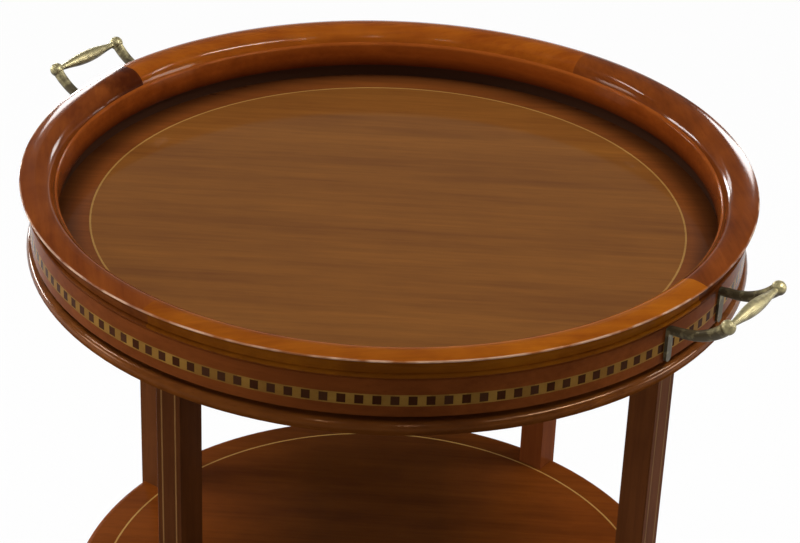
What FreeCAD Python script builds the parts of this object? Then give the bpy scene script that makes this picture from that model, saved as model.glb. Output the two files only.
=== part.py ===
"""Round tea table with a lift-off tray, as a parametric document in millimetres.

Z is up, the floor is at zero and the table's axis is the Z axis. The handles and two of the legs lie along X.
"""

import FreeCAD, Part
import math
import os

import Sketcher

# Counts and turns
QUARTERS = 4
QUARTER_TURN = 90.0
HALF_TURN = 180.0
FULL_TURN = 360.0
SQUARE_COUNT = 142

# Driving sizes, all lengths in millimetres
SIZES = {
    # Table
    "leg_height": 637.0,
    "leg_side": 25.0,
    "leg_arris": 0.8,
    "tenon_side": 15.0,
    "tenon_length": 8.0,
    "tray_radius": 305.0,
    "top_setback": 3.3,
    "top_thickness": 12.2,
    "leg_setback": 24.1,
    "shelf_level": 275.0,
    "shelf_thickness": 12.0,
    "shelf_string_inset": 2.6,
    "dowel_diameter": 7.0,
    "dowel_depth": 11.0,
    # Inlaid strings
    "string_width": 1.7,
    "string_depth": 1.2,
    "leg_string_inset": 5.6,
    "leg_string_width": 1.5,
    # Tray floor
    "floor_thickness": 12.4,
    "flange_width": 11.0,
    "flange_thickness": 8.4,
    "floor_string_setback": 56.2,
    # Frieze
    "shadow_gap": 3.9,
    "frieze_height": 33.2,
    "lip_overhang": 6.8,
    "frieze_wall": 20.4,
    "frieze_arris": 1.2,
    "ledge_width": 4.8,
    "ledge_drop": 12.7,
    "band_level": 14.7,
    "band_height": 9.8,
    "band_depth": 1.6,
    "square_height": 7.4,
    # Rim
    "lip_rise": 18.3,
    "lip_thickness": 1.7,
    "lip_round": 0.7,
    "crest_setback": 13.0,
    "crest_rise": 2.8,
    "roll_drop": 9.0,
    "crease_stand": 1.2,
    "quirk_depth": 0.8,
    "quirk_height": 1.0,
    "bead_height": 4.1,
    "bead_stand": 2.0,
    # Inner moulding
    "moulding_brow": 2.1,
    "moulding_overhang": 4.2,
    # Handles
    "handle_stand": 40.2,
    "handle_spread": 77.2,
    "ball_diameter": 12.0,
    "ball_drop": 1.7,
    "arm_width": 7.2,
    "arm_depth": 6.0,
    "arm_end_width": 8.6,
    "arm_end_depth": 10.4,
    "arm_flat_run": 12.0,
    "arm_lift": 2.4,
    "strap_height": 29.8,
    "strap_depth": 2.4,
    "strap_lift": 2.2,
    "neck_diameter": 5.4,
    "neck_length": 2.6,
    "grip_diameter": 11.4,
    # Fits
    "glue_line": 0.05,
    "joint_clearance": 0.15,
    "overrun": 5.0,
}

doc = FreeCAD.newDocument("TeaTable")
sheet = doc.addObject("Spreadsheet::Sheet", "dims")
for row, (alias, value) in enumerate(SIZES.items(), start=1):
    sheet.set(f"A{row}", alias)
    sheet.set(f"B{row}", str(value))
    sheet.setAlias(f"B{row}", alias)
doc.recompute()


class Size:
    """A length that carries its value and the sheet expression that gives it."""

    def __init__(self, value, text):
        self.value = value
        self.text = text

    def __add__(self, other):
        return Size(self.value + other.value, f"({self.text} + {other.text})")

    def __sub__(self, other):
        return Size(self.value - other.value, f"({self.text} - {other.text})")

    def __mul__(self, share):
        return Size(self.value * share, f"({self.text} * {share})")

    def __truediv__(self, share):
        return Size(self.value / share, f"({self.text} / {share})")


def dim(alias):
    """The named size from the sheet."""
    return Size(sheet.get(alias), f"dims.{alias}")


def between(low, high, share):
    """The length that lies the given share of the way from low to high."""
    return low + (high - low) * share


def chord_reach(radius, offset):
    """How far out a circle stands at the given offset from its middle line."""
    value = math.sqrt(radius.value**2 - offset.value**2)
    return Size(value, f"sqrt({radius.text} ^ 2 - {offset.text} ^ 2)")


ZERO = Size(0.0, "0")
HALF_SHARE = 0.5
DIAGONAL_SHARE = math.sqrt(HALF_SHARE)

# Places worked out from the driving sizes
top_radius = dim("tray_radius") - dim("top_setback")
leg_outer = top_radius - dim("leg_setback")
leg_inner = leg_outer - dim("leg_side")
leg_middle = between(leg_inner, leg_outer, HALF_SHARE)
shelf_bottom = dim("shelf_level") - dim("shelf_thickness")
shelf_middle = between(shelf_bottom, dim("shelf_level"), HALF_SHARE)
shelf_string_radius = leg_inner - dim("shelf_string_inset")
tray_base = dim("leg_height") + dim("top_thickness")

# Heights above the tray's base and radii of the tray
frieze_top = dim("shadow_gap") + dim("frieze_height")
lip_level = frieze_top + dim("lip_rise")
crest_level = lip_level + dim("crest_rise")
frieze_radius = dim("tray_radius") - dim("lip_overhang")
frieze_inner = frieze_radius - dim("frieze_wall")
rim_inner = frieze_inner + dim("ledge_width")
crease = (frieze_inner - dim("crease_stand"), lip_level - dim("roll_drop"))
ledge_level = frieze_top - dim("ledge_drop")
flange_radius = frieze_inner + dim("flange_width")
floor_string_radius = dim("tray_radius") - dim("floor_string_setback")
band_middle = dim("shadow_gap") + dim("band_level")
band_bottom = band_middle - dim("band_height") / 2
band_top = band_middle + dim("band_height") / 2
band_inner = frieze_radius - dim("band_depth")
chequer_step = band_inner * (math.pi / SQUARE_COUNT)
square_width = chequer_step - dim("glue_line")
handle_reach = dim("tray_radius") + dim("handle_stand")
handle_half = dim("handle_spread") / 2
ball_level = lip_level - dim("ball_drop")


def new_body(name, turn=0.0, base=(ZERO, ZERO, ZERO)):
    """A body turned about Z, whose place follows the sheet."""
    body = doc.addObject("PartDesign::Body", name)
    body.Label = name
    axis = FreeCAD.Vector(0, 0, 1)
    start = FreeCAD.Vector(*(length.value for length in base))
    body.Placement = FreeCAD.Placement(start, FreeCAD.Rotation(axis, turn))
    for letter, length in zip("xyz", base):
        body.setExpression(f"Placement.Base.{letter}", length.text)
    return body


def origin_part(body, role):
    """One of the planes or axes of the body's own origin."""
    return next(item for item in body.Origin.OriginFeatures if item.Role == role)


def new_sketch(body, name, role, lift=ZERO, rise=ZERO, lean=0.0):
    """A sketch on an origin plane, lifted along its normal, raised in the plane and leant back."""
    sketch = body.newObject("Sketcher::SketchObject", name)
    sketch.AttachmentSupport = (origin_part(body, role), "")
    sketch.MapMode = "FlatFace"
    lean_back = FreeCAD.Rotation(FreeCAD.Vector(1, 0, 0), -lean)
    sketch.AttachmentOffset = FreeCAD.Placement(FreeCAD.Vector(0, rise.value, lift.value), lean_back)
    sketch.setExpression("AttachmentOffset.Base.y", rise.text)
    sketch.setExpression("AttachmentOffset.Base.z", lift.text)
    return sketch


def hold_point(sketch, geometry, position, place):
    """Fix one sketch point at the named lengths from the sketch's origin."""
    for kind, length in zip(("DistanceX", "DistanceY"), place):
        index = sketch.addConstraint(Sketcher.Constraint(kind, -1, 1, geometry, position, length.value))
        sketch.setExpression(f"Constraints[{index}]", length.text)


def vector(place):
    """A sketch point from two lengths."""
    return FreeCAD.Vector(place[0].value, place[1].value, 0)


def draw_outline(sketch, corners, closed=True):
    """Draw an outline or an open path. A corner is (x, y), or (through, (x, y)) where an arc runs to it."""
    ends = [corner[1] if isinstance(corner[0], tuple) else corner for corner in corners]
    joints = []
    for index, corner in enumerate(corners):
        if index == 0 and not closed:
            continue
        start = ends[index - 1]
        end = ends[index]
        if isinstance(corner[0], tuple):
            curve = Part.Arc(vector(start), vector(corner[0]), vector(end))
            geometry = sketch.addGeometry(curve, False)
            dot = sketch.addGeometry(Part.Point(vector(corner[0])), True)
            hold_point(sketch, dot, 1, corner[0])
            sketch.addConstraint(Sketcher.Constraint("PointOnObject", dot, 1, geometry))
        else:
            geometry = sketch.addGeometry(Part.LineSegment(vector(start), vector(end)), False)
        first_gap = sketch.getPoint(geometry, 1).distanceToPoint(vector(start))
        last_gap = sketch.getPoint(geometry, 2).distanceToPoint(vector(start))
        first, last = (1, 2) if first_gap < last_gap else (2, 1)
        hold_point(sketch, geometry, last, end)
        joints.append((geometry, first, last))
    if not closed:
        hold_point(sketch, *joints[0][:2], ends[0])
    for index in range(0 if closed else 1, len(joints)):
        before, _, before_last = joints[index - 1]
        geometry, first, _ = joints[index]
        sketch.addConstraint(Sketcher.Constraint("Coincident", before, before_last, geometry, first))


def rectangle(left, bottom, right, top):
    """Corners of a rectangle."""
    return [(left, bottom), (right, bottom), (right, top), (left, top)]


def draw_circle(sketch, centre, diameter):
    """A circle held by its centre and diameter."""
    circle = Part.Circle(vector(centre), FreeCAD.Vector(0, 0, 1), diameter.value / 2)
    geometry = sketch.addGeometry(circle, False)
    hold_point(sketch, geometry, 3, centre)
    index = sketch.addConstraint(Sketcher.Constraint("Diameter", geometry, diameter.value))
    sketch.setExpression(f"Constraints[{index}]", diameter.text)


def turn_about_z(body, name, sketch, angle=FULL_TURN, kind="PartDesign::Revolution"):
    """Turn a sketch about its own upright axis."""
    feature = body.newObject(kind, name)
    feature.Profile = sketch
    feature.ReferenceAxis = (sketch, ["V_Axis"])
    feature.Angle = angle
    doc.recompute()
    return feature


def revolve(body, name, corners, angle=FULL_TURN, kind="PartDesign::Revolution"):
    """Turn an outline of (radius, height) about Z, or cut with it as a Groove."""
    sketch = new_sketch(body, f"{name}_outline", "XZ_Plane")
    draw_outline(sketch, corners)
    return turn_about_z(body, name, sketch, angle, kind)


def pad(body, name, sketch, length, both_ways=False):
    """Raise a sketch along its normal."""
    feature = body.newObject("PartDesign::Pad", name)
    feature.Profile = sketch
    feature.setExpression("Length", length.text)
    feature.Midplane = both_ways
    doc.recompute()
    return feature


def pocket(body, name, sketch, length):
    """Cut a sketch along its normal and insist that it removes material."""
    before = body.Shape.Volume
    feature = body.newObject("PartDesign::Pocket", name)
    feature.Profile = sketch
    feature.setExpression("Length", length.text)
    feature.Reversed = True
    doc.recompute()
    if not body.Shape.Volume < before:
        raise RuntimeError(f"{name} cuts nothing")
    return feature


def repeat_round(body, name, features, count=QUARTERS):
    """Repeat features evenly round Z."""
    pattern = body.newObject("PartDesign::PolarPattern", name)
    pattern.Originals = features
    pattern.Axis = (origin_part(body, "Z_Axis"), [""])
    pattern.Angle = FULL_TURN
    pattern.Occurrences = count
    body.Tip = pattern
    doc.recompute()


def bullnose_board(radius, bottom, thickness):
    """Outline of a round board whose edge is a half circle."""
    top = bottom + thickness
    flat = radius - thickness / 2
    nose = (radius, bottom + thickness / 2)
    return [(ZERO, bottom), (flat, bottom), (nose, (flat, top)), (ZERO, top)]


def string_ring(name, radius, top, base=(ZERO, ZERO, ZERO)):
    """A boxwood ring that fills a string groove of the given middle radius."""
    half = dim("string_width") / 2 - dim("glue_line")
    bottom = top - dim("string_depth")
    body = new_body(name, base=base)
    revolve(body, f"{name}_ring", rectangle(radius - half, bottom, radius + half, top))
    return body


def cut_string_groove(body, name, radius, top):
    """Cut the groove for a string ring into a flat top."""
    half = dim("string_width") / 2
    bottom = top - dim("string_depth")
    corners = rectangle(radius - half, bottom, radius + half, top + dim("overrun"))
    revolve(body, name, corners, kind="PartDesign::Groove")


def make_table_top():
    """Round top with a bullnose edge and a blind mortise over each leg."""
    body = new_body("table_top")
    revolve(body, "top_board", bullnose_board(top_radius, dim("leg_height"), dim("top_thickness")))
    half = dim("tenon_side") / 2 + dim("joint_clearance")
    mortise = new_sketch(body, "mortise_outline", "XY_Plane", dim("leg_height"))
    draw_outline(mortise, rectangle(leg_middle - half, ZERO - half, leg_middle + half, half))
    depth = dim("tenon_length") + dim("joint_clearance")
    repeat_round(body, "mortises", [pocket(body, "mortise", mortise, depth)])


def rounded_square(inner, outer, side, radius):
    """Section of a leg: a square whose corners are rounded."""
    near = radius * (1 - DIAGONAL_SHARE)
    half = side / 2
    low = ZERO - half
    return [
        (outer - radius, low),
        ((outer - near, low + near), (outer, low + radius)),
        (outer, half - radius),
        ((outer - near, half - near), (outer - radius, half)),
        (inner + radius, half),
        ((inner + near, half - near), (inner, half - radius)),
        (inner, low + radius),
        ((inner + near, low + near), (inner + radius, low)),
    ]


def leg_string_places():
    """The two heights across the leg's outer face at which its strings run."""
    offset = dim("leg_side") / 2 - dim("leg_string_inset")
    return (ZERO - offset, offset)


def make_leg(number):
    """Square leg with a tenon, two string grooves in its outer face and a dowel hole at the shelf."""
    body = new_body(f"leg_{number}", QUARTER_TURN * (number - 1))
    section = new_sketch(body, f"leg_section_{number}", "XY_Plane")
    draw_outline(section, rounded_square(leg_inner, leg_outer, dim("leg_side"), dim("leg_arris")))
    pad(body, f"post_{number}", section, dim("leg_height"))
    half = dim("tenon_side") / 2
    tenon = new_sketch(body, f"tenon_section_{number}", "XY_Plane", dim("leg_height"))
    draw_outline(tenon, rectangle(leg_middle - half, ZERO - half, leg_middle + half, half))
    pad(body, f"tenon_{number}", tenon, dim("tenon_length"))
    grooves = new_sketch(body, f"groove_section_{number}", "XY_Plane")
    half_groove = dim("leg_string_width") / 2
    for place in leg_string_places():
        floor_x = leg_outer - dim("string_depth")
        face_x = leg_outer + dim("overrun")
        draw_outline(grooves, rectangle(floor_x, place - half_groove, face_x, place + half_groove))
    pocket(body, f"grooves_{number}", grooves, dim("leg_height"))
    hole = new_sketch(body, f"dowel_hole_{number}", "YZ_Plane")
    draw_circle(hole, (ZERO, shelf_middle), dim("dowel_diameter") + dim("glue_line") * 2)
    pocket(body, f"dowel_seat_{number}", hole, leg_inner + dim("dowel_depth"))


def make_leg_strings(number):
    """The two boxwood lines of one leg, as one group."""
    turn = FreeCAD.Rotation(FreeCAD.Vector(0, 0, 1), QUARTER_TURN * (number - 1))
    width = dim("leg_string_width") - dim("glue_line") * 2
    lines = []
    for place in leg_string_places():
        line = doc.addObject("Part::Box", f"leg_line_{number}_{len(lines)}")
        line.setExpression("Length", dim("string_depth").text)
        line.setExpression("Width", width.text)
        line.setExpression("Height", dim("leg_height").text)
        corner = (leg_outer - dim("string_depth"), place - width / 2, ZERO)
        for letter, length in zip("xyz", corner):
            line.setExpression(f"Placement.Base.{letter}", length.text)
        lines.append(line)
    group = doc.addObject("Part::Compound", f"leg_string_{number}")
    group.Label = f"leg_string_{number}"
    group.Links = lines
    group.Placement = FreeCAD.Placement(FreeCAD.Vector(), turn)


def make_shelf():
    """Round shelf with a bullnose edge, notched round the legs, with a string groove and dowel holes."""
    body = new_body("shelf")
    revolve(body, "shelf_board", bullnose_board(leg_outer, shelf_bottom, dim("shelf_thickness")))
    cut_string_groove(body, "shelf_groove", shelf_string_radius, dim("shelf_level"))
    half = dim("leg_side") / 2 + dim("joint_clearance")
    notch = new_sketch(body, "notch_outline", "XY_Plane", shelf_bottom - dim("overrun"))
    back = leg_inner - dim("joint_clearance")
    draw_outline(notch, rectangle(back, ZERO - half, leg_outer + dim("overrun"), half))
    notch_cut = pocket(body, "notch", notch, dim("shelf_thickness") + dim("overrun") * 2)
    hole = new_sketch(body, "shelf_hole_outline", "YZ_Plane", leg_inner - dim("dowel_depth"))
    draw_circle(hole, (ZERO, shelf_middle), dim("dowel_diameter") + dim("glue_line") * 2)
    hole_cut = pocket(body, "shelf_hole", hole, dim("dowel_depth"))
    repeat_round(body, "leg_places", [notch_cut, hole_cut])


def make_shelf_dowels():
    """The four dowels that pin the shelf to the legs, as one group."""
    length = dim("dowel_depth") * 2 - dim("joint_clearance") * 2
    dowels = []
    for quarter in range(QUARTERS):
        dowel = doc.addObject("Part::Cylinder", f"dowel_{quarter}")
        dowel.setExpression("Radius", (dim("dowel_diameter") / 2).text)
        dowel.setExpression("Height", length.text)
        along = FreeCAD.Rotation(FreeCAD.Vector(0, 0, 1), FreeCAD.Vector(1, 0, 0))
        turn = FreeCAD.Rotation(FreeCAD.Vector(0, 0, 1), QUARTER_TURN * quarter)
        start = FreeCAD.Vector((leg_inner - length / 2).value, 0, shelf_middle.value)
        dowel.Placement = FreeCAD.Placement(turn.multVec(start), turn.multiply(along))
        dowels.append(dowel)
    group = doc.addObject("Part::Compound", "shelf_dowels")
    group.Label = "shelf_dowels"
    group.Links = dowels


def make_tray_floor():
    """Floor panel whose flange carries the frieze and whose top shows inside it."""
    body = new_body("tray_floor", base=(ZERO, ZERO, tray_base))
    panel = frieze_inner - dim("glue_line")
    corners = [
        (ZERO, ZERO),
        (flange_radius, ZERO),
        (flange_radius, dim("flange_thickness")),
        (panel, dim("flange_thickness")),
        (panel, dim("floor_thickness")),
        (ZERO, dim("floor_thickness")),
    ]
    revolve(body, "floor_panel", corners)
    cut_string_groove(body, "floor_groove", floor_string_radius, dim("floor_thickness"))


def make_frieze():
    """Upright hoop: rebated below for the floor and above for the inner moulding, grooved for the band."""
    body = new_body("tray_frieze", base=(ZERO, ZERO, tray_base))
    bottom = dim("shadow_gap")
    arris = dim("frieze_arris")
    rebate = flange_radius + dim("glue_line")
    corners = [
        (rebate, bottom),
        (frieze_radius - arris, bottom),
        (frieze_radius, bottom + arris),
        (frieze_radius, band_bottom),
        (band_inner, band_bottom),
        (band_inner, band_top),
        (frieze_radius, band_top),
        (frieze_radius, frieze_top - arris),
        (frieze_radius - arris, frieze_top),
        (rim_inner, frieze_top),
        (rim_inner, ledge_level),
        (frieze_inner, ledge_level),
        (frieze_inner, dim("flange_thickness")),
        (rebate, dim("flange_thickness")),
    ]
    revolve(body, "hoop", corners)


def make_chequer_blocks(body, name):
    """Flat blocks spaced evenly round the band, each a hair clear of its neighbours."""
    sketch = new_sketch(body, f"{name}_outline", "XY_Plane", band_middle - dim("square_height") / 2)
    half = square_width / 2
    face = frieze_radius - dim("glue_line")
    draw_outline(sketch, rectangle(band_inner + dim("glue_line"), ZERO - half, face, half))
    block = pad(body, name, sketch, dim("square_height"))
    repeat_round(body, f"{name}_ring", [block], SQUARE_COUNT)


def make_frieze_band():
    """Boxwood banding: a thin line above and below, with light blocks between."""
    body = new_body("frieze_band", base=(ZERO, ZERO, tray_base))
    body.AllowCompound = True
    gap = dim("glue_line")
    half = dim("square_height") / 2 + gap
    lines = new_sketch(body, "band_lines_outline", "XZ_Plane")
    back = band_inner + gap
    draw_outline(lines, rectangle(back, band_bottom + gap, frieze_radius, band_middle - half))
    draw_outline(lines, rectangle(back, band_middle + half, frieze_radius, band_top - gap))
    turn_about_z(body, "band_lines", lines)
    make_chequer_blocks(body, "light_block")


def make_frieze_squares():
    """The dark blocks of the banding, which alternate with the light ones."""
    body = new_body("frieze_squares", FULL_TURN / SQUARE_COUNT * HALF_SHARE, (ZERO, ZERO, tray_base))
    body.AllowCompound = True
    make_chequer_blocks(body, "dark_block")


def make_rim_segment(number):
    """A quarter of the cap: bead, cove and crisp lip outside, then a broad roll that turns down inside."""
    body = new_body(f"rim_segment_{number}", QUARTER_TURN * (number - 1), (ZERO, ZERO, tray_base))
    lip = dim("tray_radius")
    quirk = frieze_radius - dim("quirk_depth")
    bead_foot = frieze_top + dim("quirk_height")
    bead_head = bead_foot + dim("bead_height")
    bead_nose = (frieze_radius + dim("bead_stand"), between(bead_foot, bead_head, HALF_SHARE))
    under_lip = (lip - dim("lip_round"), lip_level - dim("lip_thickness") * HALF_SHARE)
    over_lip = (lip - dim("lip_round"), lip_level + dim("lip_thickness") * HALF_SHARE)
    cove_radius_share = 0.26
    cove_height_share = 0.68
    cove = (
        between(frieze_radius, under_lip[0], cove_radius_share),
        between(bead_head, under_lip[1], cove_height_share),
    )
    crest = (lip - dim("crest_setback"), crest_level)
    brim_drop_share = 0.25
    brim = (between(crest[0], over_lip[0], HALF_SHARE), between(crest[1], over_lip[1], brim_drop_share))
    bend_run_share = 0.63
    bend_drop_share = 0.279
    bend = (between(crest[0], crease[0], bend_run_share), between(crest[1], crease[1], bend_drop_share))
    corners = [
        (rim_inner, frieze_top),
        (quirk, frieze_top),
        (quirk, bead_foot),
        (bead_nose, (frieze_radius, bead_head)),
        (cove, under_lip),
        ((lip, lip_level), over_lip),
        (brim, crest),
        (bend, crease),
        (rim_inner, crease[1]),
    ]
    feature = revolve(body, f"cap_{number}", corners, QUARTER_TURN)
    feature.Reversed = feature.Shape.BoundBox.YMin < -dim("overrun").value
    doc.recompute()


def make_inner_moulding():
    """Nearly upright moulding under the roll, with a small round brow, on the frieze's ledge."""
    body = new_body("rim_moulding", base=(ZERO, ZERO, tray_base))
    back = rim_inner - dim("glue_line")
    head = crease[1] - dim("glue_line")
    brow = dim("moulding_brow")
    brow_run_share = 0.62
    brow_drop_share = 0.38
    brow_height_share = 1.2
    brow_height = brow * brow_height_share
    brow_bend = (crease[0] - brow * brow_run_share, head - brow_height * brow_drop_share)
    nose = frieze_inner - dim("moulding_overhang")
    heel_share = 0.12
    heel = nose + dim("moulding_overhang") * heel_share
    nose_height_share = 0.45
    corners = [
        (back, ledge_level),
        (back, head),
        (crease[0], head),
        (brow_bend, (crease[0] - brow, head - brow_height)),
        ((nose, between(ledge_level, head, nose_height_share)), (heel, ledge_level)),
    ]
    revolve(body, "moulding_ring", corners)


def slope_angle(start, end):
    """The angle at which the straight line from start to end climbs."""
    return math.atan2((end[1] - start[1]).value, (end[0] - start[0]).value)


def upward_sweep(start, end, half_angle):
    """The middle of an arc from start to end that hangs below its chord and turns through twice the angle."""
    sag_share = math.tan(half_angle / 2) / 2
    along = between(start[0], end[0], HALF_SHARE) + (end[1] - start[1]) * sag_share
    height = between(start[1], end[1], HALF_SHARE) - (end[0] - start[0]) * sag_share
    return along, height


def round_foot_strip(half, foot, head):
    """Outline of an upright strip with a round foot."""
    spring = foot + half
    return [(ZERO - half, head), (ZERO - half, spring), ((ZERO, foot), (half, spring)), (half, head)]


def round_sided_bar(half_width, depth):
    """Section of a flat bar whose two sides bulge."""
    bulge_share = 0.3
    side = half_width - depth * bulge_share
    low = ZERO - depth / 2
    high = depth / 2
    return [
        ((ZERO - half_width, ZERO), (ZERO - side, low)),
        (side, low),
        ((half_width, ZERO), (side, high)),
        (ZERO - side, high),
    ]


def make_bracket(number, turn, side):
    """Cast bracket at one end of a handle: strap, arm and ball; side is +1 or -1 along the grip."""
    offset = handle_half if side > 0 else ZERO - handle_half
    place = offset if turn == 0 else ZERO - offset
    body = new_body(f"handle_bracket_{number}", turn, (ZERO, place, tray_base))
    wall = chord_reach(frieze_radius, handle_half)
    buried = wall - dim("overrun")
    root = wall + dim("strap_depth")
    strap_top = frieze_top - dim("strap_lift")
    half_width = dim("arm_width") / 2
    strap = new_sketch(body, f"strap_outline_{number}", "YZ_Plane", buried)
    draw_outline(strap, round_foot_strip(half_width, strap_top - dim("strap_height"), strap_top))
    pad(body, f"strap_{number}", strap, root - buried)
    axis_level = strap_top - dim("arm_depth") / 2
    arm_start = (buried, axis_level)
    flat_end = (root + dim("arm_flat_run"), axis_level + dim("arm_lift"))
    ball_centre = (handle_reach, ball_level)
    chord_angle = slope_angle(flat_end, ball_centre)
    half_angle = chord_angle - slope_angle(arm_start, flat_end)
    path = new_sketch(body, f"arm_path_{number}", "XZ_Plane")
    corners = [arm_start, flat_end, (upward_sweep(flat_end, ball_centre, half_angle), ball_centre)]
    draw_outline(path, corners, closed=False)
    root_section = new_sketch(body, f"arm_root_{number}", "YZ_Plane", buried, axis_level)
    draw_outline(root_section, round_sided_bar(half_width, dim("arm_depth")))
    lean = math.degrees(chord_angle + half_angle)
    end_section = new_sketch(body, f"arm_end_{number}", "YZ_Plane", handle_reach, ball_level, lean)
    draw_outline(end_section, round_sided_bar(dim("arm_end_width") / 2, dim("arm_end_depth")))
    doc.recompute()
    arm = body.newObject("PartDesign::AdditivePipe", f"arm_{number}")
    arm.Profile = root_section
    arm.Spine = path
    arm.Transformation = "Multisection"
    arm.Sections = [end_section]
    doc.recompute()
    ball = body.newObject("PartDesign::AdditiveSphere", f"ball_{number}")
    ball.AttachmentSupport = (origin_part(body, "XY_Plane"), "")
    ball.MapMode = "FlatFace"
    ball.setExpression("Radius", (dim("ball_diameter") / 2).text)
    ball.setExpression("AttachmentOffset.Base.x", handle_reach.text)
    ball.setExpression("AttachmentOffset.Base.z", ball_level.text)
    doc.recompute()
    seat = new_sketch(body, f"frieze_seat_{number}", "XY_Plane")
    draw_circle(seat, (ZERO, ZERO - offset), (frieze_radius + dim("glue_line")) * 2)
    pocket(body, f"seat_{number}", seat, lip_level)
    socket = new_sketch(body, f"socket_outline_{number}", "XZ_Plane")
    draw_circle(socket, (handle_reach, ball_level), dim("neck_diameter") + dim("glue_line") * 2)
    before = body.Shape.Volume
    cut = body.newObject("PartDesign::Pocket", f"socket_{number}")
    cut.Profile = socket
    cut.setExpression("Length", dim("ball_diameter").text)
    cut.Reversed = side > 0
    doc.recompute()
    if not body.Shape.Volume < before:
        raise RuntimeError("the grip's socket cuts nothing")


def make_grip(number, turn):
    """Turned baluster grip: slender necks let into the balls, hollow tapers and a swelling middle."""
    place = handle_reach if turn == 0 else ZERO - handle_reach
    body = new_body(f"handle_grip_{number}", 0.0, (place, ZERO, tray_base + ball_level))
    tip = handle_half - dim("joint_clearance")
    neck = handle_half - dim("ball_diameter") / 2 - dim("neck_length")
    neck_radius = dim("neck_diameter") / 2
    belly_radius = dim("grip_diameter") / 2
    flank_length_share = 0.56
    flank_radius_share = 0.56
    flank = (between(neck_radius, belly_radius, flank_radius_share), neck * flank_length_share)
    hollow_radius_share = 0.44
    hollow = (between(neck_radius, flank[0], hollow_radius_share), between(flank[1], neck, HALF_SHARE))
    corners = [
        (ZERO, ZERO - tip),
        (neck_radius, ZERO - tip),
        (neck_radius, ZERO - neck),
        ((hollow[0], ZERO - hollow[1]), (flank[0], ZERO - flank[1])),
        ((belly_radius, ZERO), flank),
        (hollow, (neck_radius, neck)),
        (neck_radius, tip),
        (ZERO, tip),
    ]
    sketch = new_sketch(body, f"grip_outline_{number}", "XY_Plane")
    draw_outline(sketch, corners)
    turn_about_z(body, f"grip_{number}", sketch)


make_table_top()
for leg_number in range(1, QUARTERS + 1):
    make_leg(leg_number)
    make_leg_strings(leg_number)
    make_rim_segment(leg_number)
make_shelf()
string_ring("shelf_string", shelf_string_radius, dim("shelf_level"))
make_shelf_dowels()
make_tray_floor()
string_ring("tray_floor_string", floor_string_radius, dim("floor_thickness"), (ZERO, ZERO, tray_base))
make_frieze()
make_frieze_band()
make_frieze_squares()
make_inner_moulding()
bracket_count = 0
for handle, handle_turn in enumerate((0.0, HALF_TURN), start=1):
    make_grip(handle, handle_turn)
    for side in (1, -1):
        bracket_count += 1
        make_bracket(bracket_count, handle_turn, side)
doc.recompute()

for item in doc.Objects:
    if "Invalid" in item.State or "Error" in item.State:
        raise RuntimeError(f"{item.Label} did not build")

os.makedirs("parts", exist_ok=True)
inner_pieces = {link for item in doc.Objects if item.TypeId == "Part::Compound" for link in item.Links}
for item in doc.Objects:
    is_body = item.TypeId in ("PartDesign::Body", "Part::Compound", "Part::Feature")
    if is_body and item not in inner_pieces:
        if item.Shape.isNull() or not item.Shape.isValid():
            raise RuntimeError(f"{item.Label} has no sound shape")
        item.Shape.exportStep(f"parts/{item.Label}.step")
        box = item.Shape.BoundBox
        print(item.Label, len(item.Shape.Solids), round(item.Shape.Volume), box)
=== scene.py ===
# %% [markdown]
# A round tea table with a lift-off tray, dressed for a picture.
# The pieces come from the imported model, which already stands at its real size, in metres, with Z up.
# This lesson gives every piece its finish - stained and polished wood, boxwood inlay, old brass -
# and sets up the light and the camera of a furniture photograph.
# The pieces share the table's own coordinates, so a mask in a material can be drawn as a maker measures:
# by the height above the ground, the distance from the table's axis or the angle round it.

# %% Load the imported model
import math

import bpy
import numpy as np
from mathutils import Matrix, Vector

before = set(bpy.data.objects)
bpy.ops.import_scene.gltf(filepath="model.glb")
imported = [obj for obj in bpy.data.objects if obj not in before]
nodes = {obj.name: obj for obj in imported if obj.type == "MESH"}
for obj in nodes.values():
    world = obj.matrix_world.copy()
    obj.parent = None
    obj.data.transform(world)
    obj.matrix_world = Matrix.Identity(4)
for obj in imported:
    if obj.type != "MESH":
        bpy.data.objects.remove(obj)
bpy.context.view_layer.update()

# %% [markdown]
# The camera stands where the photographer stood: a little above the table, with a long lens.
# It could be aimed by a constraint, but the picture leans very slightly, so the camera is turned by angles.
# Its place is a bearing round the table, a distance and a height, which can be checked by eye,
# and its pitch, pan and roll are in radians.
# The picture is 800 pixels wide, and a sensor of 36 millimetres lies across that width.

# %% Camera
CAMERA_BEARING = math.radians(36.2)
CAMERA_DISTANCE = 1.7382
CAMERA_HEIGHT = 1.5947
CAMERA_PITCH = 0.5168
CAMERA_PAN = 0.0065
CAMERA_ROLL = -0.0405
SENSOR_WIDTH = 36.0
PICTURE_WIDTH = 800
FOCAL_PIXELS = 2348.65

turn = Matrix.Rotation(CAMERA_BEARING, 3, "Z")
forward = turn @ Vector((
    math.sin(CAMERA_PAN) * math.cos(CAMERA_PITCH),
    math.cos(CAMERA_PAN) * math.cos(CAMERA_PITCH),
    -math.sin(CAMERA_PITCH),
))
level_right = turn @ Vector((math.cos(CAMERA_PAN), -math.sin(CAMERA_PAN), 0))
level_down = forward.cross(level_right)
right = level_right * math.cos(CAMERA_ROLL) + level_down * math.sin(CAMERA_ROLL)
up = level_right * math.sin(CAMERA_ROLL) - level_down * math.cos(CAMERA_ROLL)

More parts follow.
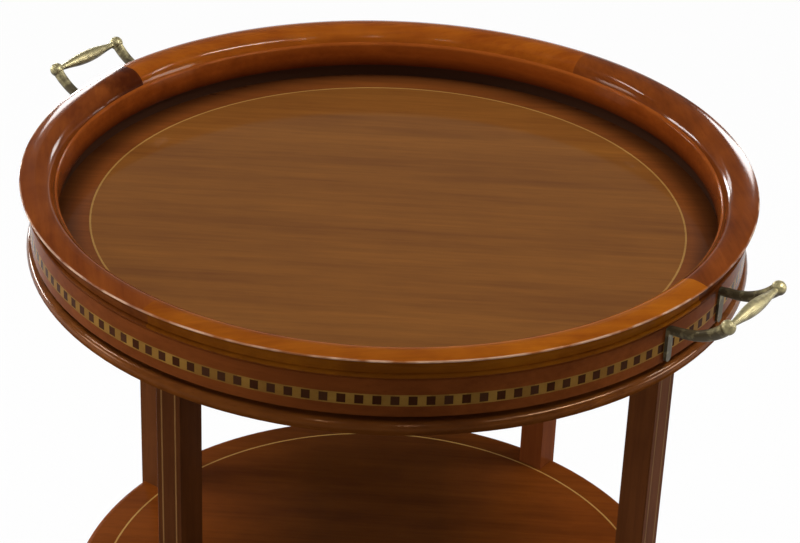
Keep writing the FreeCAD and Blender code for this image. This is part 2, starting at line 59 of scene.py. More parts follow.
camera_data = bpy.data.cameras.new("camera")
camera_data.sensor_width = SENSOR_WIDTH
camera_data.lens = FOCAL_PIXELS * SENSOR_WIDTH / PICTURE_WIDTH
camera = bpy.data.objects.new("camera", camera_data)
bpy.context.scene.collection.objects.link(camera)
place = turn @ Vector((0, -CAMERA_DISTANCE, CAMERA_HEIGHT))
camera.matrix_world = Matrix.Translation(place) @ Matrix((right, up, -forward)).transposed().to_4x4()
bpy.context.scene.camera = camera
print("camera at", [round(v, 3) for v in place], "with a lens of", round(camera_data.lens, 1), "mm")

# %% [markdown]
# Every finish below is a tree of shader nodes. Nodes can be added and wired one line at a time,
# but a tree is easier to read when one short helper makes each node.
# It takes the node's kind, the values for its sockets and what is wired into it.

# %% Helpers for shader nodes
def add_node(tree, kind, values=None, wires=None, **settings):
    """Add a node to a tree, set its properties and socket values, and wire outputs into its sockets."""
    node = tree.nodes.new(kind)
    for name, value in settings.items():
        setattr(node, name, value)
    for name, value in (values or {}).items():
        node.inputs[name].default_value = value
    for name, output in (wires or {}).items():
        tree.links.new(output, node.inputs[name])
    return node


def calculate(tree, operation, first, second=0.0, clamp=False):
    """One step of arithmetic; each side is a plain number or another node's output."""
    node = tree.nodes.new("ShaderNodeMath")
    node.operation = operation
    node.use_clamp = clamp
    for socket, side in zip(node.inputs, (first, second)):
        if isinstance(side, (int, float)):
            socket.default_value = side
        else:
            tree.links.new(side, socket)
    return node.outputs[0]


def remap(tree, value, low, high, new_low=0.0, new_high=1.0):
    """Stretch a value from one range to another and hold it at the ends."""
    values = {"From Min": low, "From Max": high, "To Min": new_low, "To Max": new_high}
    return add_node(tree, "ShaderNodeMapRange", values, {"Value": value}).outputs[0]


def blend(tree, share, first, second, way="MIX"):
    """Mix two colours, or multiply them by way; each is a plain colour or another node's output."""
    node = add_node(tree, "ShaderNodeMix", wires={0: share}, data_type="RGBA", blend_type=way)
    for socket, colour in ((node.inputs[6], first), (node.inputs[7], second)):
        if isinstance(colour, tuple):
            socket.default_value = colour
        else:
            tree.links.new(colour, socket)
    return node.outputs[2]


def new_material(name):
    """A material with an empty node tree and its output node."""
    material = bpy.data.materials.new(name)
    material.use_nodes = True
    material.node_tree.nodes.clear()
    return material, material.node_tree, material.node_tree.nodes.new("ShaderNodeOutputMaterial")


def srgb(red, green, blue):
    """A colour as a picture program shows it, from 0 to 255, as the linear values that shaders use.

    Dark shares are divided by 12.92, and the others follow a power curve of 2.4.
    """
    share = np.array([red, green, blue]) / 255
    linear = np.where(share <= 0.04045, share / 12.92, ((share + 0.055) / 1.055) ** 2.4)
    return (*linear.tolist(), 1.0)


print("a grey of 128 in a picture is", round(srgb(128, 128, 128)[0], 3), "in a shader")

# %% [markdown]
# The floor is a wide pale sheet. A catalogue picture has it nearly white, which could be had by more light,
# but that would bleach the table too. So the sheet glows for the camera and for mirror-like reflections only,
# and still takes a share of real light, so the table keeps its shadow.

# %% Floor
FLOOR_HALF = 8.0
FLOOR_GREY = srgb(140, 139, 138)
WHITE = (1.0, 1.0, 1.0, 1.0)
GLOW_SHARE = 0.88
GLOW_STRENGTH = 1.1

corners = [(x * FLOOR_HALF, y * FLOOR_HALF, 0) for x, y in ((-1, -1), (1, -1), (1, 1), (-1, 1))]
floor_mesh = bpy.data.meshes.new("studio_floor")
floor_mesh.from_pydata(corners, [], [(0, 1, 2, 3)])
studio_floor = bpy.data.objects.new("studio_floor", floor_mesh)
bpy.context.scene.collection.objects.link(studio_floor)


def ray_kinds(tree):
    """Two masks: rays that left a mirror-like surface or clear glass, and rays that left the camera."""
    path = tree.nodes.new("ShaderNodeLightPath").outputs
    mirrored = calculate(tree, "MAXIMUM", path["Is Glossy Ray"], path["Is Transmission Ray"])
    return mirrored, path["Is Camera Ray"]


material, tree, output = new_material("pale_floor")
lit = add_node(tree, "ShaderNodeBsdfDiffuse", {"Color": FLOOR_GREY})
glow = add_node(tree, "ShaderNodeEmission", {"Color": WHITE, "Strength": GLOW_STRENGTH})
share = calculate(tree, "MULTIPLY", calculate(tree, "MAXIMUM", *ray_kinds(tree)), GLOW_SHARE)
mix = add_node(tree, "ShaderNodeMixShader", wires={0: share, 1: lit.outputs[0], 2: glow.outputs[0]})
tree.links.new(mix.outputs[0], output.inputs["Surface"])
floor_mesh.materials.append(material)
print("floor", FLOOR_HALF * 2, "m wide")

# %% [markdown]
# The room is dim, with walls that are white near the floor. A polished edge mirrors the walls
# where it is seen at a low angle, while the tray's floor mirrors the dim upper room and so keeps its colour.
# Walls could be built as meshes, but the world can hold them: the Z part of its direction
# is the sine of the height above the horizon. Only the camera and mirror-like surfaces see them white,
# so that they add no light to the wood.

# %% Room
WALL_TOP = 0.0
DIM_FROM = math.sin(math.radians(6))
ROOM_DIM = 0.13
MIRRORED_DIM = 0.15

world = bpy.data.worlds.new("studio_room")
bpy.context.scene.world = world
world.use_nodes = True
tree = world.node_tree
direction = add_node(tree, "ShaderNodeTexCoord").outputs["Generated"]
height = add_node(tree, "ShaderNodeSeparateXYZ", wires={0: direction}).outputs["Z"]
walls = remap(tree, height, WALL_TOP, DIM_FROM, 1.0, MIRRORED_DIM)
mirrored, to_camera = ray_kinds(tree)
seen = calculate(tree, "MAXIMUM", calculate(tree, "MULTIPLY", walls, mirrored), to_camera)
background = tree.nodes["Background"].inputs
background["Color"].default_value = WHITE
tree.links.new(calculate(tree, "MAXIMUM", seen, ROOM_DIM), background["Strength"])
print("the room lights the wood at", ROOM_DIM, "and is mirrored at", MIRRORED_DIM, "above its walls")

# %% [markdown]
# A photographer splits the light in two: broad soft lamps give the wood its shading,
# and small bright panes leave the white streaks by which the eye reads polish.
# Blender can make the same split. A broad lamp is hidden from mirror-like rays here, so that it draws
# no wide grey sheen. Bearings are counted from the camera round the table, to the right.

# %% Broad lamps
TRAY_MIDDLE = Vector((0, 0, 0.69))
LAMP_DISTANCE = 2.6
BROAD_WIDTH = 1.2
BROAD_HEIGHT = 0.9
BROAD_LAMPS = {
    # name: (bearing, elevation, power)
    "left_lamp": (-88, 60, 22),
    "right_lamp": (88, 60, 24),
    "overhead_lamp": (0, 85, 10),
    "front_lamp": (0, 14, 5),
    "low_left_lamp": (-85, 1, 34),
    "low_right_lamp": (92, 1, 20),
}


def direction_to(bearing, elevation=0.0):
    """The way from the table along a bearing and an elevation in degrees."""
    around = CAMERA_BEARING + math.radians(bearing)
    rise = math.radians(elevation)
    return Vector((math.sin(around) * math.cos(rise), -math.cos(around) * math.cos(rise), math.sin(rise)))


def soft_lamp(name, target, away, width, height, power):
    """An oblong lamp that stands away from a target point and looks back at it."""
    light = bpy.data.lights.new(name, "AREA")
    light.shape = "RECTANGLE"
    light.size = width
    light.size_y = height
    light.energy = power
    lamp = bpy.data.objects.new(name, light)
    lamp.location = target + away * LAMP_DISTANCE
    lamp.rotation_euler = (-away).to_track_quat("-Z", "Y").to_euler()
    bpy.context.scene.collection.objects.link(lamp)
    return lamp


for name, (bearing, elevation, power) in BROAD_LAMPS.items():
    lamp = soft_lamp(name, TRAY_MIDDLE, direction_to(bearing, elevation), BROAD_WIDTH, BROAD_HEIGHT, power)
    lamp.visible_glossy = False
print(len(BROAD_LAMPS), "broad lamps")

# %% [markdown]
# The panes are the windows and ceiling lights of the room, as the polish mirrors them. A pane is hidden from
# diffuse rays, so that it adds no light but its reflection.
# A low row at the left draws the streaks along the right of the rim, two windows at the back draw its white
# outer edges, and strips, panes at the right and ceiling lights draw the rest.
# A pane is counted from the spot that mirrors it, a bearing on the rim,
# so that it shows there and not on the far side of the tray.
# A lamp's power is its brightness times its area times pi.

# %% Bright panes
RIM_MIDDLE = 0.288
PANES = {
    # name: (spot on the rim, bearing, elevation, width, height, brightness)
    "left_pane_1": (134, -84, 15, 0.6, 0.4, 14),
    "left_pane_2": (113, -117, 3.5, 0.78, 0.22, 34),
    "left_pane_3": (102, -136, -3, 0.25, 0.2, 34),
    "left_pane_4": (90, -153, 4, 0.35, 0.3, 34),
    "left_strip": (-60, -117, 45, 0.16, 0.5, 60),
    "right_strip": (50, 110, 40, 0.16, 0.5, 40),
    "left_back_window": (-108, -166, 16, 0.28, 0.45, 12),
    "right_back_window": (103, 162, 17, 0.36, 0.42, 14),
    "right_pane_1": (-115, 114, 5, 0.5, 0.1, 8),
    "right_pane_2": (-134, 84, 11, 0.8, 0.35, 16),
    "right_pane_3": (-150, 65, 46, 1.1, 0.18, 70),
    "ceiling_light_1": (-12, -22, 52, 0.2, 0.08, 60),
    "ceiling_light_2": (5, 10, 52, 0.2, 0.08, 60),
    "ceiling_light_3": (24, 43, 52, 0.2, 0.08, 60),
}
for name, (spot, bearing, elevation, width, height, brightness) in PANES.items():
    target = TRAY_MIDDLE + direction_to(spot) * RIM_MIDDLE
    power = brightness * width * height * math.pi
    pane = soft_lamp(name, target, direction_to(bearing, elevation), width, height, power)
    pane.visible_diffuse = False
print(len(PANES), "panes")

# %% [markdown]
# Mahogany is figured in several scales: broad soft bands, ribbons, fine streaks along the grain,
# cloudy mottle and short dark pores. All but the mottle are noise stretched along the grain,
# and the mottle is noise that is nearly the same in all directions.
# A picture of wood could be wrapped round the boards, but noise has no seams and fits every size.
# One node group makes the figure for every board, so that all of them are the same kind of wood,
# and each material turns the grain and chooses two tones and four strengths.

# %% Wood figure group
FIGURE = {
    # name: (grains per metre along, grains per metre across, layers of detail)
    "Bands": (1.6, 20, 2),
    "Ribbons": (6, 75, 2),
    "Streaks": (14, 270, 3),
    "Mottle": (26, 34, 3),
}
PORES = (60, 800, 1)
PORE_EDGES = (0.58, 0.74)
PORE_DARKNESS = 0.3
PORE_DEPTH = 0.3
GLOSS_CLOUDS = (9, 16, 3)
SWELL = (10, 18, 1)
WANDER = 0.3
MIDDLE_TONE = 0.5


def new_group(name, inputs, outputs):
    """An empty node group with named sockets; gives the group, what comes into it and what goes out."""
    group = bpy.data.node_groups.new(name, "ShaderNodeTree")
    for way, sockets in (("INPUT", inputs), ("OUTPUT", outputs)):
        for socket, kind in sockets.items():
            group.interface.new_socket(socket, in_out=way, socket_type=f"NodeSocket{kind}")
    source = group.nodes.new("NodeGroupInput").outputs
    sink = group.nodes.new("NodeGroupOutput").inputs
    return group, source, sink


def make_wood_figure():
    """Group: a place with the grain along X, two tones, four strengths in; colour, gloss, height out."""
    inputs = {"Vector": "Vector", "Light": "Color", "Dark": "Color", **{name: "Float" for name in FIGURE}}
    outputs = {"Color": "Color", "Gloss": "Float", "Height": "Float"}
    group, source, sink = new_group("wood_figure", inputs, outputs)

    def stretched_noise(along, across, detail):
        """Noise whose grains are 1/along metres long and 1/across metres wide."""
        scaled = add_node(group, "ShaderNodeVectorMath", {1: (along, across, across)}, {0: source["Vector"]},
                          operation="MULTIPLY").outputs[0]
        values = {"Scale": 1.0, "Detail": detail, "Distortion": WANDER}
        return add_node(group, "ShaderNodeTexNoise", values, {"Vector": scaled}).outputs[0]

    tone = MIDDLE_TONE
    for name, scales in FIGURE.items():
        centred = calculate(group, "SUBTRACT", stretched_noise(*scales), MIDDLE_TONE)
        tone = calculate(group, "ADD", calculate(group, "MULTIPLY", centred, source[name]), tone)
    tone = calculate(group, "ADD", tone, 0.0, clamp=True)
    body = blend(group, tone, source["Dark"], source["Light"])
    pores = remap(group, stretched_noise(*PORES), *PORE_EDGES, 0.0, PORE_DARKNESS)
    group.links.new(blend(group, pores, body, source["Dark"]), sink["Color"])
    group.links.new(stretched_noise(*GLOSS_CLOUDS), sink["Gloss"])
    sunk = calculate(group, "MULTIPLY", pores, PORE_DEPTH)
    group.links.new(calculate(group, "SUBTRACT", stretched_noise(*SWELL), sunk), sink["Height"])
    return group


wood_figure = make_wood_figure()
print("wood figure group with", len(wood_figure.nodes), "nodes")

# %% [markdown]
# French polish is a clear skin of shellac over the stained wood. It could be a separate coat on the shader.
# But shellac is amber, so what it mirrors square on is tinted, while at a low angle it mirrors white:
# the Specular Tint of the Principled shader does just that.
# The polish is never quite even, so its roughness drifts a little with the Gloss noise.
# Colour steps may change the colour further, one after another, by where a point is on the board.
# The hidden dowels of the shelf are the first to be finished, because they need no such step.

# %% Polished wood materials
AMBER = (1.0, 0.58, 0.3, 1.0)
PALE_AMBER = (1.0, 0.85, 0.72, 1.0)
QUIET_FIGURE = (0.9, 0.7, 0.5, 0.5)
SATIN = (0.1, 0.18)
FULL_POLISH = 0.22
DULL_POLISH = 0.01
SHELLAC_IOR = 1.5
RIPPLE = {"Strength": 0.04, "Distance": 0.001}
NOISE_RANGE = (0.3, 0.7)


def polished_wood(name, light, dark, grain_turn=0.0, tilt=0.0, figure=QUIET_FIGURE, rough=SATIN,
                  specular=FULL_POLISH, tint=AMBER, colour_steps=()):
    """Stained wood under shellac; the grain runs along X turned by grain_turn degrees about Z, then tilted.

    specular is a plain number, or a function that gives an output which changes over the surface.
    """
    material, tree, output = new_material(name)
    where = add_node(tree, "ShaderNodeTexCoord").outputs["Object"]
    turned = {"Rotation": (0, math.radians(tilt), math.radians(-grain_turn))}
    grain = add_node(tree, "ShaderNodeMapping", turned, {"Vector": where}).outputs[0]
    chosen = {"Light": light, "Dark": dark, **dict(zip(FIGURE, figure))}
    wood = add_node(tree, "ShaderNodeGroup", chosen, {"Vector": grain}, node_tree=wood_figure).outputs
    colour = wood["Color"]
    for step in colour_steps:
        colour = step(tree, where, colour)
    bump = add_node(tree, "ShaderNodeBump", RIPPLE, {"Height": wood["Height"]})
    values = {"IOR": SHELLAC_IOR, "Specular Tint": tint}
    wires = {
        "Base Color": colour,
        "Roughness": remap(tree, wood["Gloss"], *NOISE_RANGE, *rough),
        "Normal": bump.outputs[0],
    }
    if callable(specular):
        wires["Specular IOR Level"] = specular(tree, where)
    else:
        values["Specular IOR Level"] = specular
    shader = add_node(tree, "ShaderNodeBsdfPrincipled", values, wires)
    tree.links.new(shader.outputs[0], output.inputs["Surface"])
    return material


def finish_with(material, *names):
    """Give CAD nodes one material."""
    for name in names:
        mesh = nodes[name].data
        mesh.materials.clear()
        mesh.materials.append(material)
    print(material.name, "on", ", ".join(names))


dowel_wood = polished_wood("dowel_wood", srgb(160, 120, 76), srgb(130, 92, 54))
finish_with(dowel_wood, "shelf_dowels")

# %% [markdown]
# The rim has a hollow under its lip which no polishing cloth reaches, so the polish there is dull, and its
# colour is darkened by painted shade. Along the lip itself a pale line is a painted highlight. Both could be
# painted by hand, but a mask by height and radius follows a turned edge exactly. Noise breaks the pale line
# up, as a highlight breaks on an uneven edge. All four boards of the rim take them alike, so the painted
# shade and highlight are a node group that is built once. How strongly the rim mirrors stays in each
# material, since the group puts out only a colour.

# %% Painted hollow shade and lip highlight
LIP_HEIGHT = 0.7042
HOLLOW_FADE = 0.002
HOLLOW_RADIUS = 0.292
# painted shade that darkens the hollow under the lip
HOLLOW_PAINTED_SHADE = (0.8, 0.9, 1.0, 1.0)
LIP_RADIUS = 0.3036
LIP_WIDTH = 0.0008
# painted highlight: the pale line along the lip stands for a reflection
LIP_PAINTED_HIGHLIGHT = srgb(226, 184, 152)
BREAK_NOISE = (34.0, 2.0)
BREAK_EDGES = (0.42, 0.54)
LIP_HIGHLIGHT_SHARES = (0.1, 0.75)
RIM_POLISH = 0.12
HOLLOW_POLISH = 0.004


def from_axis(tree, where):
    """Distance from the table's axis: the length of the place with its height taken out."""
    flat = add_node(tree, "ShaderNodeVectorMath", {1: (1, 1, 0)}, {0: where}, operation="MULTIPLY").outputs[0]
    return add_node(tree, "ShaderNodeVectorMath", wires={0: flat}, operation="LENGTH").outputs["Value"]


def from_ground(tree, where):
    """Height above the ground."""
    return add_node(tree, "ShaderNodeSeparateXYZ", wires={0: where}).outputs["Z"]


def soft_noise(tree, where, scale, detail):
    """Noise with about so many blotches to the metre, and layers of finer detail."""
    values = {"Scale": scale, "Detail": detail}
    return add_node(tree, "ShaderNodeTexNoise", values, {"Vector": where}).outputs[0]


def hollow_mask(tree, where):
    """One in the hollow under the rim's lip and zero elsewhere."""
    below_lip = remap(tree, from_ground(tree, where), LIP_HEIGHT, LIP_HEIGHT - HOLLOW_FADE)
    outside = calculate(tree, "GREATER_THAN", from_axis(tree, where), HOLLOW_RADIUS)
    return calculate(tree, "MULTIPLY", below_lip, outside)


def rim_polish(tree, where):
    """Polish that is dull in the hollow."""
    return remap(tree, hollow_mask(tree, where), 0.0, 1.0, RIM_POLISH, HOLLOW_POLISH)


def make_rim_painted_light():
    """Group: a place and the wood's colour in; the colour with painted shade in the hollow and a broken
    painted highlight on the lip out.
    """
    group, source, sink = new_group("rim_painted_light", {"Vector": "Vector", "Color": "Color"}, {"Color": "Color"})
    where = source["Vector"]
    shaded = blend(group, hollow_mask(group, where), source["Color"], HOLLOW_PAINTED_SHADE, "MULTIPLY")
    breaks = remap(group, soft_noise(group, where, *BREAK_NOISE), *BREAK_EDGES, *LIP_HIGHLIGHT_SHARES)
    edge = remap(group, from_axis(group, where), LIP_RADIUS, LIP_RADIUS + LIP_WIDTH)
    share = calculate(group, "MULTIPLY", edge, breaks)
    group.links.new(blend(group, share, shaded, LIP_PAINTED_HIGHLIGHT), sink["Color"])
    return group


# The group paints shade into the hollow and a highlight along the lip.
rim_painted_light = make_rim_painted_light()
print("rim wear group with", len(rim_painted_light.nodes), "nodes")

# %% [markdown]
# The rim is sawn from four boards and butted end to end, and the polisher never quite matched their colours:
# the front one is golden, the left one is a darker red-brown.
# Each board's grain is straight, along its chord.
# The front board reddens towards its left end, and the left board is stained dark near its back joint.
# Both are fades by the angle round the table, the arctangent of Y over X.
# Noise shifts that angle to and fro, which gives the fades the ragged edge of a real stain.

# %% Boards of the rim
FIRST_CHORD = 135.0
QUARTER_TURN = 90.0
RIM_FIGURE = (1.2, 0.9, 0.7, 1.4)
RIM_ROUGHNESS = (0.06, 0.12)
FRONT_FADE = (0.72, 0.68, 0.95, 1.0)
FADE_ENDS = (-90.0, -20.0)
FADE_NOISE, FADE_SPREAD = (30.0, 3.0), 12.0
STAIN = (0.42, 0.34, 0.34, 1.0)
BACK_JOINT = -180.0
STAIN_REACH = 15.0
STAIN_NOISE, STAIN_SPREAD = (42.0, 3.0), 9.0


def round_angle(tree, where):
    """The angle of a point round the table in degrees, from -180 to 180, counted from +X towards +Y."""
    parts = add_node(tree, "ShaderNodeSeparateXYZ", wires={0: where}).outputs
    return calculate(tree, "DEGREES", calculate(tree, "ARCTAN2", parts["Y"], parts["X"]))


def ragged_angle(tree, where, noise, spread):
    """The angle round the table, shifted by noise up to a spread of degrees either way."""
    shift = remap(tree, soft_noise(tree, where, *noise), *NOISE_RANGE, -spread, spread)
    return calculate(tree, "ADD", round_angle(tree, where), shift)


def front_fade(tree, where, colour):
    """Redden the front board towards its left end."""
    share = remap(tree, ragged_angle(tree, where, FADE_NOISE, FADE_SPREAD), *FADE_ENDS, 1.0, 0.0)
    return blend(tree, share, colour, FRONT_FADE, "MULTIPLY")


def joint_stain(tree, where, colour):
    """Darken the end of the left board, most at its joint with the back board."""
    angle = ragged_angle(tree, where, STAIN_NOISE, STAIN_SPREAD)
    share = remap(tree, angle, BACK_JOINT, BACK_JOINT + STAIN_REACH, 1.0, 0.0)
    return blend(tree, share, colour, STAIN, "MULTIPLY")


def paint_rim_light(tree, where, colour):
    """Place the group of painted hollow shade and lip highlight after a colour."""
    wires = {"Vector": where, "Color": colour}
    return add_node(tree, "ShaderNodeGroup", wires=wires, node_tree=rim_painted_light).outputs["Color"]


rim_tones = {
    # board: (light tone, dark tone, steps before the painted shade and highlight)
    1: (srgb(138, 69, 23), srgb(99, 45, 15), ()),
    2: (srgb(172, 92, 22), srgb(132, 60, 13), ()),
    3: (srgb(140, 72, 25), srgb(102, 45, 15), (joint_stain,)),
    4: (srgb(182, 102, 19), srgb(142, 70, 12), (front_fade,)),
}
for number, (light, dark, steps) in rim_tones.items():
    chord = FIRST_CHORD + QUARTER_TURN * (number - 1)
    wood = polished_wood(f"rim_wood_{number}", light, dark, chord, figure=RIM_FIGURE, rough=RIM_ROUGHNESS,
                         specular=rim_polish, tint=PALE_AMBER, colour_steps=(*steps, paint_rim_light))
    finish_with(wood, f"rim_segment_{number}")

# %% [markdown]
# The tray's floor is veneered with quietly striped mahogany,
# and outside its boxwood string the border is redder.
# Where it meets the upright moulding, the corner is darkened by painted shade, and the moulding too is
# painted darker below its head and more towards its foot. On the floor the painted shade grows with the
# distance from the axis, and on the moulding it grows downwards, so one helper makes both from a distance and
# its two ends, the unshaded one first.

# %% Tray floor and moulding
FLOOR_GRAIN = 34.0
FLOOR_FIGURE = (0.7, 0.9, 0.8, 0.3)
FLOOR_ROUGHNESS = (0.05, 0.1)
FLOOR_POLISH = 0.3
STRING_RADIUS = 0.2488
BORDER = (0.82, 0.64, 0.7, 1.0)
# painted shade in the corner of the tray's floor
FLOOR_PAINTED_SHADE = (0.42, 0.42, 0.5, 1.0)
FLOOR_PAINTED_SHADE_ENDS = (0.254, 0.275)
HOOP_GRAIN = 20.0
MOULDING_POLISH = 0.06
# painted shade on the moulding, below its head and at its foot
MOULDING_PAINTED_SHADE = (0.8, 0.72, 0.7, 1.0)
MOULDING_PAINTED_SHADE_ENDS = (0.694, 0.687)
FOOT_PAINTED_SHADE = (0.35, 0.3, 0.4, 1.0)
FOOT_PAINTED_SHADE_ENDS = (0.684, 0.674)


def paint_shade_towards(tree, distance, ends, colour, shade):
    """Multiply a colour by a painted shade, not at all at the first end of a distance and fully at its second
    end.
    """
    return blend(tree, remap(tree, distance, *ends), colour, shade, "MULTIPLY")


def floor_border_and_shade(tree, where, colour):
    """Redden the veneer outside the string, and paint shade on it towards the moulding."""
    radius = from_axis(tree, where)
    outside = calculate(tree, "GREATER_THAN", radius, STRING_RADIUS)
    redder = blend(tree, outside, colour, BORDER, "MULTIPLY")
    return paint_shade_towards(tree, radius, FLOOR_PAINTED_SHADE_ENDS, redder, FLOOR_PAINTED_SHADE)


def paint_moulding_shade(tree, where, colour):
    """Paint shade on the moulding, a little below its head and more towards its foot."""
    level = from_ground(tree, where)
    below_head = paint_shade_towards(tree, level, MOULDING_PAINTED_SHADE_ENDS, colour, MOULDING_PAINTED_SHADE)
    return paint_shade_towards(tree, level, FOOT_PAINTED_SHADE_ENDS, below_head, FOOT_PAINTED_SHADE)


floor_veneer = polished_wood("floor_veneer", srgb(146, 92, 38), srgb(112, 67, 30), FLOOR_GRAIN,
                             figure=FLOOR_FIGURE, rough=FLOOR_ROUGHNESS, specular=FLOOR_POLISH,
                             colour_steps=(floor_border_and_shade,))
finish_with(floor_veneer, "tray_floor")
moulding_wood = polished_wood("moulding_wood", srgb(170, 88, 30), srgb(128, 60, 19), HOOP_GRAIN,
                              specular=MOULDING_POLISH, colour_steps=(paint_moulding_shade,))
finish_with(moulding_wood, "rim_moulding")

# %% [markdown]
# The frieze is a dark hoop. Its upright face mirrors the white floor, and a dull old polish keeps that mirror
# weak. Inside, a narrow strip of it shows under the moulding, and its dark there is painted shade. A second
# material would need the mesh to be split, so the wood inside a radius takes one dark tone of painted shade.

# %% Frieze
# painted shade inside the frieze, under the moulding
INSIDE_PAINTED_SHADE = srgb(70, 44, 30)
INSIDE_SHADE_ENDS = (0.286, 0.284)


def frieze_inside_shade(tree, where, colour):
    """Paint the inner face of the frieze one dark tone of shade."""
    return blend(tree, remap(tree, from_axis(tree, where), *INSIDE_SHADE_ENDS), colour, INSIDE_PAINTED_SHADE)


frieze_wood = polished_wood("frieze_wood", srgb(142, 75, 32), srgb(102, 50, 20), HOOP_GRAIN,
                            specular=DULL_POLISH, colour_steps=(frieze_inside_shade,))
finish_with(frieze_wood, "tray_frieze")

# %% [markdown]
# The table's own top shows only its rounded edge, which hands have kept bright on its upper half.
# The flat lies under the tray and has no polish. Here too one material serves,
# and how strongly it mirrors follows the height and the radius.

# %% Table top
TOP_GRAIN = 30.0
EDGE_MIDDLE = 0.643
EDGE_FADE = 0.003
FLAT_RADIUS = 0.292
FLAT_FADE = 0.004
EDGE_POLISH = 0.2


def edge_polish(tree, where):
    """Polish on the upper half of the table top's edge, and none on its lower half and on the flat."""
    upper_half = remap(tree, from_ground(tree, where), EDGE_MIDDLE, EDGE_MIDDLE + EDGE_FADE)
    at_edge = remap(tree, from_axis(tree, where), FLAT_RADIUS, FLAT_RADIUS + FLAT_FADE, 0.0, EDGE_POLISH)
    return calculate(tree, "MULTIPLY", upper_half, at_edge)


top_wood = polished_wood("top_wood", srgb(142, 80, 30), srgb(88, 45, 17), TOP_GRAIN, specular=edge_polish)
finish_with(top_wood, "table_top")

# %% [markdown]
# The shelf is darker in a broad stripe across its middle, where the tray above keeps the light away.
# The stripe is measured across the shelf, so a Mapping node turns the places first, and then only X is read.
# The shelf is duller than the tray, as little used wood is: it is rougher and mirrors little.

# %% Shelf
DULL_ROUGHNESS = (0.3, 0.42)
STRIPE_TURN = math.radians(36.2)
STRIPE_ENDS = (0.2, 0.06)
STRIPE_SHADE = (0.55, 0.65, 0.85, 1.0)


def shelf_middle(tree, where, colour):
    """Darken a broad stripe across the middle of the shelf."""
    back_turn = {"Rotation": (0, 0, -STRIPE_TURN)}
    turned = add_node(tree, "ShaderNodeMapping", back_turn, {"Vector": where}).outputs[0]
    across = add_node(tree, "ShaderNodeSeparateXYZ", wires={0: turned}).outputs["X"]
    return paint_shade_towards(tree, calculate(tree, "ABSOLUTE", across), STRIPE_ENDS, colour, STRIPE_SHADE)


shelf_wood = polished_wood("shelf_wood", srgb(164, 85, 26), srgb(112, 53, 17), FLOOR_GRAIN,
                           rough=DULL_ROUGHNESS, specular=DULL_POLISH, colour_steps=(shelf_middle,))
finish_with(shelf_wood, "shelf")

# %% [markdown]
# The legs are stood on end, so their grain is tilted upright. One material could serve all four, but each has
# two tones of its own, partly its stain and partly painted light and shade.

# %% Legs
UPRIGHT = 90.0
# each leg's tones hold its stain and painted light and shade
leg_tones_and_light = {
    # leg: (light tone, dark tone)
    1: (srgb(126, 72, 36), srgb(84, 45, 21)),
    2: (srgb(144, 76, 35), srgb(98, 48, 20)),
    3: (srgb(122, 71, 36), srgb(82, 44, 21)),
    4: (srgb(100, 55, 25), srgb(66, 33, 14)),
}
for number, (light, dark) in leg_tones_and_light.items():
    wood = polished_wood(f"leg_wood_{number}", light, dark, tilt=UPRIGHT, specular=DULL_POLISH)
    finish_with(wood, f"leg_{number}")

# %% [markdown]
# The strings are thin lines of boxwood, let into grooves.
# Boxwood is pale and even, and the polish yellows it:
# on the shelf the line has stayed bright, in the tray's floor it is golden, and on the legs it is dull brown.
# One material for all three would be simpler, but these lines carry much of the table's character.

# %% Boxwood strings
floor_boxwood = polished_wood("floor_boxwood", srgb(184, 140, 76), srgb(150, 108, 52), FLOOR_GRAIN)
finish_with(floor_boxwood, "tray_floor_string")
shelf_boxwood = polished_wood("shelf_boxwood", srgb(232, 184, 100), srgb(204, 152, 74), FLOOR_GRAIN)
finish_with(shelf_boxwood, "shelf_string")
leg_boxwood = polished_wood("leg_boxwood", srgb(154, 112, 64), srgb(124, 84, 44), tilt=UPRIGHT,
                            specular=DULL_POLISH)
finish_with(leg_boxwood, *(f"leg_string_{number}" for number in leg_tones_and_light))

# %% [markdown]
# The band round the frieze is a row of light boxwood blocks and dark stained ones. No two blocks of a real
# banding match. They could have a material each, but there are hundreds, so the tone is worked out instead:
# a block's number round the band is its angle divided by the step, rounded down,
# and white noise turns that number into a tone. Light and dark blocks share one node group,
# and the light ones shift the count by half a step.

# %% Band of blocks
BLOCK_COUNT = 142
FULL_TURN = 360
HALF_STEP = 0.5
BLOCK_SPREAD = 0.5


def make_block_tones():
    """Group: a place, a colour, another colour and a shift of the count in; the block's own colour out."""
    inputs = {"Vector": "Vector", "Color": "Color", "Other": "Color", "Shift": "Float"}
    group, source, sink = new_group("block_tones", inputs, {"Color": "Color"})
    place = calculate(group, "MULTIPLY", round_angle(group, source["Vector"]), BLOCK_COUNT / FULL_TURN)
    number = calculate(group, "FLOOR", calculate(group, "ADD", place, source["Shift"]))
    chance = add_node(group, "ShaderNodeTexWhiteNoise", wires={"W": number}, noise_dimensions="1D")
    share = calculate(group, "MULTIPLY", chance.outputs["Value"], BLOCK_SPREAD)
    group.links.new(blend(group, share, source["Color"], source["Other"]), sink["Color"])
    return group


def towards(other, shift=0.0):
    """A colour step that takes each block some way, by chance, towards another colour."""
    def step(tree, where, colour):
        values = {"Other": other, "Shift": shift}
        wires = {"Vector": where, "Color": colour}
        return add_node(tree, "ShaderNodeGroup", values, wires, node_tree=block_tones).outputs["Color"]
    return step


block_tones = make_block_tones()
light_blocks = polished_wood("light_blocks", srgb(176, 132, 62), srgb(140, 98, 40), specular=DULL_POLISH,
                             colour_steps=(towards(srgb(110, 70, 30), HALF_STEP),))
finish_with(light_blocks, "frieze_band")
dark_blocks = polished_wood("dark_blocks", srgb(76, 40, 20), srgb(50, 24, 12), specular=DULL_POLISH,
                            colour_steps=(towards(srgb(88, 58, 40)),))
finish_with(dark_blocks, "frieze_squares")
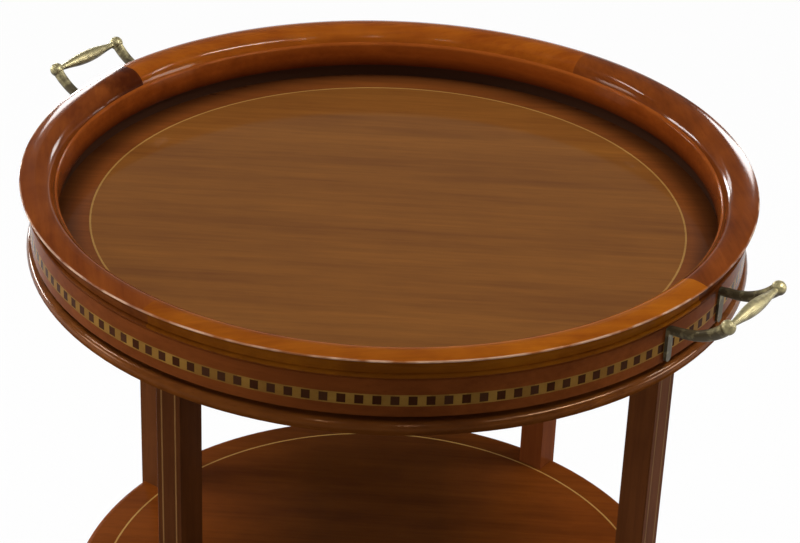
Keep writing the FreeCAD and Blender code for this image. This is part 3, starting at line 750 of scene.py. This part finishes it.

# %% [markdown]
# The handles are old cast brass: bright where hands rub them, on the grips and the balls, and olive-brown
# on the arms and straps, where nobody does. Tarnish is a dull film, so it also takes away some of the metal.
# The rub could follow the edges of the mesh, but on a casting it follows the hand: the mask grows with height
# up the arm and is broken up by noise. It also fades on faces that look down, and that fade is painted shade,
# which keeps the undersides dark.
# A fine bump gives the skin of a casting.

# %% Brass
ARM_LEVEL, BALL_LEVEL = 0.69, 0.704
LOOKS_DOWN, LOOKS_UP = -0.7, 0.3
PATCH_NOISE = (170.0, 4.0)
PATCH_EDGES = (0.35, 0.65)
PATCH_SHARES = (-0.45, 0.35)
SKIN_NOISE = (700.0, 2.0)
SKIN = {"Strength": 0.25, "Distance": 0.0006}
# the tarnished tone is also painted shade on faces that look down, and the rubbed one painted light on tops
TARNISHED_AND_SHADED, RUBBED_AND_LIT = srgb(78, 67, 42), srgb(174, 162, 118)
BRASS_METAL = (0.3, 0.65)
BRASS_ROUGHNESS = (0.5, 0.42)


def make_old_brass():
    """Brass whose tarnish clears with height and follows soft noise, with painted shade on faces that look
    down.
    """
    material, tree, output = new_material("old_brass")
    where = add_node(tree, "ShaderNodeTexCoord").outputs["Object"]
    facing = add_node(tree, "ShaderNodeNewGeometry").outputs["Normal"]
    upward = add_node(tree, "ShaderNodeSeparateXYZ", wires={0: facing}).outputs["Z"]
    handled = remap(tree, from_ground(tree, where), ARM_LEVEL, BALL_LEVEL)
    # faces that look down stay dark: painted shade
    rubbed_and_lit_top = calculate(tree, "MULTIPLY", handled, remap(tree, upward, LOOKS_DOWN, LOOKS_UP))
    patches = remap(tree, soft_noise(tree, where, *PATCH_NOISE), *PATCH_EDGES, *PATCH_SHARES)
    rubbed_and_lit = calculate(tree, "ADD", rubbed_and_lit_top, patches, clamp=True)
    bump = add_node(tree, "ShaderNodeBump", SKIN, {"Height": soft_noise(tree, where, *SKIN_NOISE)})
    shader = add_node(tree, "ShaderNodeBsdfPrincipled", wires={
        "Base Color": blend(tree, rubbed_and_lit, TARNISHED_AND_SHADED, RUBBED_AND_LIT),
        "Metallic": remap(tree, rubbed_and_lit, 0.0, 1.0, *BRASS_METAL),
        "Roughness": remap(tree, rubbed_and_lit, 0.0, 1.0, *BRASS_ROUGHNESS),
        "Normal": bump.outputs[0],
    })
    tree.links.new(shader.outputs[0], output.inputs["Surface"])
    return material


brackets = [f"handle_bracket_{number}" for number in range(1, 5)]
finish_with(make_old_brass(), *brackets, "handle_grip_1", "handle_grip_2")

# %% [markdown]
# Blender's usual view softens bright colours, as film does. The Standard view shows a colour
# as it is written, which suits a finish that was matched to a real one.

# %% Finish
bpy.context.scene.view_settings.view_transform = "Standard"
